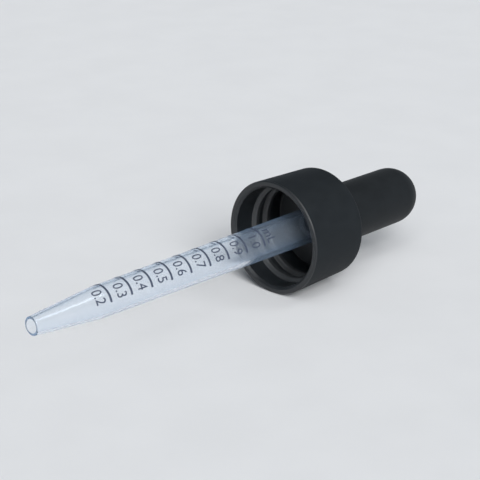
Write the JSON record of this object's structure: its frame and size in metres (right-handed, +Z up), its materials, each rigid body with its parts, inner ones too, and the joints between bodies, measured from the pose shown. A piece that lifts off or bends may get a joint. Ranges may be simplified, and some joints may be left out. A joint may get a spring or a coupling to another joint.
{
  "type": "medicine dropper",
  "caption": "Dropper closure: internally threaded round screw cap, domed squeeze bulb held in its top, and a graduated tapering pipette pushed into the bulb.",
  "frame": {"origin": "on the common axis of cap, bulb and pipette, in the plane of the cap's open rim", "axes": "+X along the axis, from the pipette's tip towards the bulb; +Z up, with the dropper lying on the side of its cap; the scale faces -Y and +Z"},
  "size_m": [0.1025, 0.023, 0.023],
  "materials": {
    "cap_plastic": "black moulded polypropylene, satin",
    "bulb_rubber": "black soft rubber, matt",
    "pipette_plastic": "natural polyethylene, milky and translucent",
    "scale_ink": "dark printed ink"
  },
  "bodies": {
    "cap": {"screw_cap": "cap_plastic"},
    "bulb": {"rubber_bulb": "bulb_rubber"},
    "bulb_front": {"bulb_front_wall": "bulb_rubber"},
    "bulb_back": {"bulb_back_wall": "bulb_rubber"},
    "pipette": {"pipette": "pipette_plastic", "scale_lines": "scale_ink"}
  },
  "joints": [
    {"name": "bulb_swivel", "type": "hinge", "parent": "cap", "child": "bulb", "pos_m": [0, 0, 0], "axis": [1, 0, 0], "continuous": true},
    {"name": "pipette_pull", "type": "slide", "parent": "bulb", "child": "pipette", "axis": [-1, 0, 0], "range_m": [0, 0.0068]},
    {"name": "squeeze_front", "type": "slide", "parent": "bulb", "child": "bulb_front", "axis": [0, 1, 0], "range_m": [0, 0.0023], "stiffness_N_per_m": 1500},
    {"name": "squeeze_back", "type": "slide", "parent": "bulb", "child": "bulb_back", "axis": [0, -1, 0], "range_m": [0, 0.0023], "stiffness_N_per_m": 1500}
  ],
  "couplings": [
    {"joint": "squeeze_back", "follows": "squeeze_front", "ratio": 1}
  ]
}
